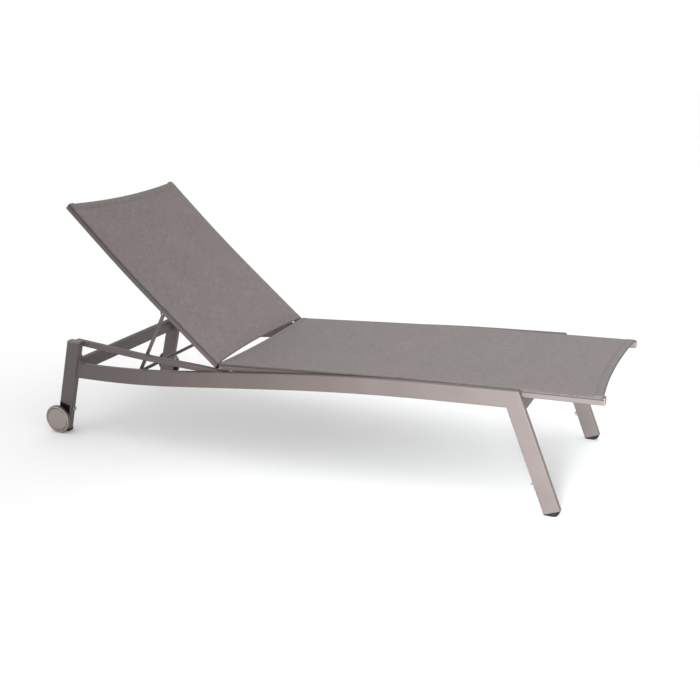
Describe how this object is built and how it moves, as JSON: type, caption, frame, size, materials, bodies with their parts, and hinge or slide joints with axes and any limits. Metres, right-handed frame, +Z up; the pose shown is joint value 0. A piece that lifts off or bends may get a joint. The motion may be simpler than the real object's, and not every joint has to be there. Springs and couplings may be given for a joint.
{
  "type": "chaise lounge",
  "caption": "Sling chaise lounge on an aluminium frame, with a backrest that tilts on a notched support stay and wheels under the head end.",
  "frame": {"origin": "centre of the bounding box's footprint, on the floor", "axes": "+X towards the foot end, +Y towards the user's left, +Z up"},
  "size_m": [1.9223, 0.716, 0.8099],
  "materials": {
    "frame_paint": "satin taupe powder coat on aluminium",
    "rail_paint": "satin taupe powder coat on aluminium",
    "bar_paint": "satin taupe powder coat on aluminium",
    "cap_plastic": "moulded, coloured to match the frame",
    "cover_plastic": "moulded, coloured to match the frame",
    "sling_fabric": "woven PVC-coated polyester mesh",
    "keder_cord": "extruded",
    "wheel_rubber": "moulded",
    "black_plastic": "moulded",
    "steel": "plain stainless"
  },
  "bodies": {
    "backrest": {"backrest_keder_left": "keder_cord", "backrest_keder_right": "keder_cord", "backrest_lower_spreader": "bar_paint", "backrest_rail_caps": "cap_plastic", "backrest_rail_left": "rail_paint", "backrest_rail_right": "rail_paint", "backrest_sling": "sling_fabric", "backrest_top_spreader": "bar_paint", "hinge_knuckle_left": "black_plastic", "hinge_knuckle_right": "black_plastic", "stay_bracket_left": "bar_paint", "stay_bracket_right": "bar_paint", "stay_bracket_screws": "steel", "stay_pin_left": "steel", "stay_pin_right": "steel"},
    "base_frame": {"front_crossbar": "frame_paint", "front_foot_left": "black_plastic", "front_foot_right": "black_plastic", "front_leg_left": "frame_paint", "front_leg_right": "frame_paint", "hinge_bracket_left": "bar_paint", "hinge_bracket_right": "bar_paint", "hinge_bracket_screws": "steel", "hinge_pin_left": "steel", "hinge_pin_right": "steel", "rack_screws": "steel", "ratchet_rack_left": "black_plastic", "ratchet_rack_right": "black_plastic", "rear_crossbar": "frame_paint", "rear_leg_cap_left": "cap_plastic", "rear_leg_cap_right": "cap_plastic", "rear_leg_left": "frame_paint", "rear_leg_right": "frame_paint", "seat_bolts": "steel", "seat_head_crossbar": "frame_paint", "seat_keder_left": "keder_cord", "seat_keder_right": "keder_cord", "seat_rail_caps": "cap_plastic", "seat_rail_left": "rail_paint", "seat_rail_right": "rail_paint", "seat_sling": "sling_fabric", "seat_spacers": "black_plastic", "seat_spreader": "bar_paint", "side_rail_left": "frame_paint", "side_rail_right": "frame_paint", "stacking_bumpers": "cap_plastic", "upper_rail_left": "frame_paint", "upper_rail_right": "frame_paint", "wheel_axle_left": "steel", "wheel_axle_right": "steel", "wheel_carrier_left": "black_plastic", "wheel_carrier_right": "black_plastic"},
    "stay": {"stay_arm_left": "bar_paint", "stay_arm_right": "bar_paint", "stay_cross_rod": "bar_paint"},
    "wheel_left": {"wheel_cover_left": "cover_plastic", "wheel_left": "wheel_rubber"},
    "wheel_right": {"wheel_cover_right": "cover_plastic", "wheel_right": "wheel_rubber"}
  },
  "joints": [
    {"name": "backrest_tilt", "type": "hinge", "parent": "base_frame", "child": "backrest", "pos_m": [-0.273, 0, 0.3095], "axis": [0, 1, 0], "range_deg": [-35, 3.5]},
    {"name": "stay_swing", "type": "hinge", "parent": "backrest", "child": "stay", "pos_m": [-0.48896, 0, 0.45976], "axis": [0, 1, 0], "range_deg": [-15, 90]},
    {"name": "wheel_right_spin", "type": "hinge", "parent": "base_frame", "child": "wheel_right", "pos_m": [-0.911, -0.345, 0.0508], "axis": [0, 1, 0], "continuous": true},
    {"name": "wheel_left_spin", "type": "hinge", "parent": "base_frame", "child": "wheel_left", "pos_m": [-0.911, 0.345, 0.0508], "axis": [0, 1, 0], "continuous": true}
  ],
  "couplings": [
    {"joint": "stay_swing", "follows": "backrest_tilt", "ratio": -2.3447}
  ]
}
